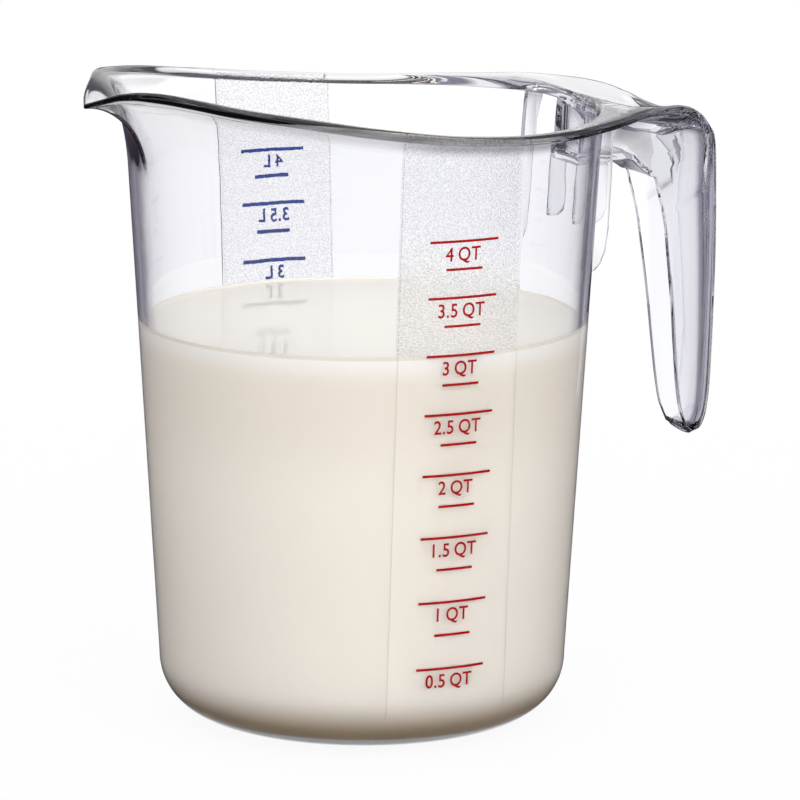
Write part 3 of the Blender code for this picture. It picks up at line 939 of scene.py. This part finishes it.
def wordSolid(words, z, side):
    # the words under the line at this height, as thin solid letters, flat in x and z
    sizes = printSizes
    curve = bpy.data.curves.new("words", "FONT")
    curve.body = words
    curve.align_x = "CENTER"
    curve.size = 1.0
    curve.resolution_u = 6
    curve.space_character = sizes["letterSpace"]
    curve.space_word = sizes["wordSpace"]
    text = bpy.data.objects.new("words", curve)
    bpy.context.scene.collection.objects.link(text)
    flat = bpy.data.meshes.new_from_object(text.evaluated_get(bpy.context.evaluated_depsgraph_get()))
    bpy.data.objects.remove(text)
    letters = bmesh.new()
    letters.from_mesh(flat)
    bmesh.ops.remove_doubles(letters, verts=letters.verts, dist=1e-5)
    embolden(letters, sidePrint[side]["thicker"])
    high = sizes["capHeight"] / sizes["fontCap"]
    wide = high * sidePrint[side]["narrow"]
    for vert in letters.verts:
        vert.co = Vector((vert.co.x * wide + sizes["textShift"], -sizes["inkDepth"] / 2,
                          (vert.co.y - sizes["fontCap"]) * high + z - sizes["textDrop"]))
    made = bmesh.ops.extrude_face_region(letters, geom=letters.faces[:], use_keep_orig=True)
    for item in made["geom"]:
        if isinstance(item, bmesh.types.BMVert):
            item.co.y += sizes["inkDepth"]
    bmesh.ops.recalc_face_normals(letters, faces=letters.faces)
    solid = bpy.data.meshes.new("lettersSolid")
    letters.to_mesh(solid)
    letters.free()
    return solid


def buildScale(name, unit, litresPerUnit, side, ink):
    sizes = printSizes
    marks = []
    value = sizes["firstMark"]
    while value <= sizes["lastMark"] + 1e-6:
        marks.append((value, fillHeight(value * litresPerUnit), value % 0.5 == 0))
        value += sizes["markStep"]
    mesh = bpy.data.meshes.new(name)
    mesh.from_pydata([(0, 0, z) for _, z, _ in marks], [], [])
    attribute = mesh.attributes.new("longTick", "FLOAT", "POINT")
    attribute.data.foreach_set("value", [1.0 if long else 0.0 for _, _, long in marks])
    ticks = bpy.data.objects.new(name, mesh)
    bpy.context.scene.collection.objects.link(ticks)
    step = ticks.modifiers.new("ticks", "NODES")
    step.node_group = tickTree(name + "Tree")
    given = {"Long Line": sizes["longLine"], "Short Line": sizes["shortLine"], "Ink Depth": sizes["inkDepth"],
             "Line Height": sizes["lineHeight"] * sidePrint[side]["lineShare"], "Ink": ink}
    for item in step.node_group.interface.items_tree:
        if item.in_out == "INPUT" and item.name in given:
            step[item.identifier] = given[item.name]
    asMesh(ticks)
    parts = bmesh.new()
    parts.from_mesh(ticks.data)
    for value, z, long in marks:
        if long:
            parts.from_mesh(wordSolid(f"{value:g} {unit}", z, side))
    parts.to_mesh(ticks.data)
    parts.free()
    wrapOnWall(ticks.data, side)
    ticks.data.materials.clear()
    ticks.data.materials.append(ink)
    print(name + ":", len(marks), "lines")
    return ticks


# studio

studio = {
    # seen straight through the plastic, by height
    "backdrop": [(0.0, 0.95), (0.34, 0.95), (0.39, 1.14), (0.42, 1.14), (0.47, 0.98), (0.56, 0.84),
                 (0.75, 0.82), (1.0, 1.0)],
    # light on the milk
    "front": 4.4, "side": 0.90, "behind": 3.0, "above": 1.26, "below": 1.0,
    "lightTurn": 12.0,                      # degrees that the front light stands to the camera's right
    # what gloss shows, and what the edges show inside the plastic
    "mirrorLow": (0.085, 0.068, 0.100), "mirrorMid": (0.95, 0.95, 0.96),
    "mirrorHigh": (0.62, 0.60, 0.66), "mirrorTop": (1.3, 1.3, 1.32),
    "innerDark": (0.10, 0.085, 0.12), "innerLow": (0.53, 0.515, 0.575), "innerHigh": (0.22, 0.20, 0.25),
    "nearFoot": 0.058, "footFade": 0.018,   # gloss shows the table bright up to this far from the axis
    "floorRadius": 0.55, "floorGlow": 0.93, "floorColour": (0.048, 0.042, 0.050),
}
photoCamera = {"azimuth": 25.3, "elevation": 11.63, "roll": 0.315, "distance": 2.0,
               "aim": (0.01277, -0.00605, 0.12135), "lens": 236.5}
bounces = {"max_bounces": 18, "transmission_bounces": 18, "glossy_bounces": 10, "diffuse_bounces": 4}


def setCamera():
    data = bpy.data.cameras.new("photoCamera")
    data.lens = photoCamera["lens"]
    data.sensor_width = 36.0
    data.clip_end = 50.0
    camera = bpy.data.objects.new("photoCamera", data)
    bpy.context.scene.collection.objects.link(camera)
    turn, lift = math.radians(photoCamera["azimuth"]), math.radians(photoCamera["elevation"])
    back = Vector((-math.sin(turn) * math.cos(lift), -math.cos(turn) * math.cos(lift), math.sin(lift)))
    facing = (-back).to_track_quat("-Z", "Y").to_matrix().to_4x4()
    roll = Matrix.Rotation(math.radians(photoCamera["roll"]), 4, "Z")
    place = Matrix.Translation(Vector(photoCamera["aim"]) + back * photoCamera["distance"])
    camera.matrix_world = place @ facing @ roll
    bpy.context.scene.camera = camera


def grey(value):
    return (value, value, value)


def milkLighting(tree, x, y, z):
    # light by direction: mostly from the front and behind, some from above
    turn = math.radians(photoCamera["azimuth"] - studio["lightTurn"])
    away = mathNode(tree, "ADD", product(tree, x, math.sin(turn)), product(tree, y, math.cos(turn)))
    squares = mathNode(tree, "ADD", product(tree, x, x), product(tree, y, y))
    level = mathNode(tree, "MAXIMUM", mathNode(tree, "SQRT", squares), 0.001)
    facing = mathNode(tree, "DIVIDE", away, level)
    half = mathNode(tree, "ADD", product(tree, facing, 0.5), 0.5)
    front, side, behind = grey(studio["front"]), grey(studio["side"]), grey(studio["behind"])
    lighting = rampNode(tree, half, [(0.0, front), (0.22, front), (0.42, side), (0.86, side),
                                     (0.94, behind), (1.0, behind)])
    lighting = mixNode(tree, rangeNode(tree, z, 0.5, 0.8), lighting, grey(studio["above"]))
    return mixNode(tree, mathNode(tree, "LESS_THAN", z, 0.0), lighting, grey(studio["below"]))


def bandRamp(tree, height, bands):
    # level bands of colour with soft steps between them; a band holds its two ends and its name
    stops = []
    for low, high, name in bands:
        stops += [(low, studio[name]), (high, studio[name])]
    return rampNode(tree, height, stops)


def setWorld():
    # pale backdrop all round; gloss and the plastic's edges show dark and bright bands
    world = bpy.data.worlds.new("studio")
    bpy.context.scene.world = world
    world.use_nodes = True
    tree = world.node_tree
    tree.nodes.clear()
    ways = tree.nodes.new("ShaderNodeTexCoord").outputs["Generated"]
    x, y, z = newNode(tree, "ShaderNodeSeparateXYZ", {0: ways}).outputs
    height = mathNode(tree, "ADD", product(tree, z, 0.5), 0.5)
    mirrored = bandRamp(tree, height, [(0.0, 0.49, "mirrorLow"), (0.53, 0.68, "mirrorMid"),
                                       (0.74, 0.88, "mirrorHigh"), (0.94, 1.0, "mirrorTop")])
    inner = bandRamp(tree, height, [(0.0, 0.22, "innerDark"), (0.34, 0.48, "innerLow"),
                                    (0.54, 0.68, "mirrorMid"), (0.76, 0.88, "innerHigh"),
                                    (0.94, 1.0, "mirrorTop")])
    path = tree.nodes.new("ShaderNodeLightPath")
    within = mathNode(tree, "GREATER_THAN", path.outputs["Transmission Depth"], 0.5)
    reflected = mathNode(tree, "GREATER_THAN", path.outputs["Glossy Depth"], 0.5)
    lit = mathNode(tree, "GREATER_THAN", path.outputs["Diffuse Depth"], 0.5)
    backdrop = rampNode(tree, height, [(where, grey(value)) for where, value in studio["backdrop"]])
    seen = mixNode(tree, reflected, backdrop, mixNode(tree, within, mirrored, inner))
    seen = mixNode(tree, lit, seen, milkLighting(tree, x, y, z))
    seen = mixNode(tree, path.outputs["Is Camera Ray"], seen, grey(1.0))
    sky = newNode(tree, "ShaderNodeBackground", {"Color": seen})
    newNode(tree, "ShaderNodeOutputWorld", {"Surface": sky.outputs[0]})


def setFloor():
    bm = bmesh.new()
    bmesh.ops.create_circle(bm, cap_ends=True, segments=96, radius=studio["floorRadius"])
    for vert in bm.verts:
        vert.co.z = -0.0002
    mesh = bpy.data.meshes.new("tableTop")
    bm.to_mesh(mesh)
    bm.free()
    table = bpy.data.objects.new("tableTop", mesh)
    bpy.context.scene.collection.objects.link(table)
    material, tree, shader = newMaterial("tableTop")
    path = tree.nodes.new("ShaderNodeLightPath")
    spot = tree.nodes.new("ShaderNodeVectorMath")
    spot.operation = "LENGTH"
    fill(tree, spot, {0: placeNodes(tree)[0]})
    # the table glows white, but not as seen in gloss far from the foot, inside the plastic or by the milk
    away = rangeNode(tree, spot.outputs["Value"], studio["nearFoot"], studio["nearFoot"] + studio["footFade"],
                     smooth=True)
    away = mathNode(tree, "ADD", path.outputs["Transmission Depth"], away)
    dark = product(tree, path.outputs["Glossy Depth"], away)
    dark = mathNode(tree, "MINIMUM", mathNode(tree, "ADD", dark, path.outputs["Diffuse Depth"]), 1.0)
    glow = product(tree, mathNode(tree, "SUBTRACT", 1.0, dark), studio["floorGlow"])
    fill(tree, shader, {"Base Color": studio["floorColour"], "Roughness": 0.8, "Specular IOR Level": 0.0,
                        "Emission Color": grey(1.0), "Emission Strength": glow})
    mesh.materials.append(material)


def setRender():
    scene = bpy.context.scene
    scene.view_settings.view_transform = "Standard"
    for name, count in bounces.items():
        setattr(scene.cycles, name, count)
    scene.cycles.caustics_reflective = True
    scene.cycles.caustics_refractive = True


setCamera()
setWorld()
setFloor()
setRender()
print("studio ready")

jugBody = buildJug()
jugBody.data.materials.clear()
jugBody.data.materials.append(clearPlastic())
milkFill = buildMilk()
milkFill.data.materials.append(creamyMilk())
grain = inkGrain()
quartScale = buildScale("quartScale", "QT", quartInLitres, -1, printInk("redInk", grain))
litreScale = buildScale("litreScale", "L", 1.0, 1, printInk("blueInk", grain))

for piece in (jugBody, milkFill, quartScale, litreScale):
    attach(piece, "root")
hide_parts("jug")
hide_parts("milk")
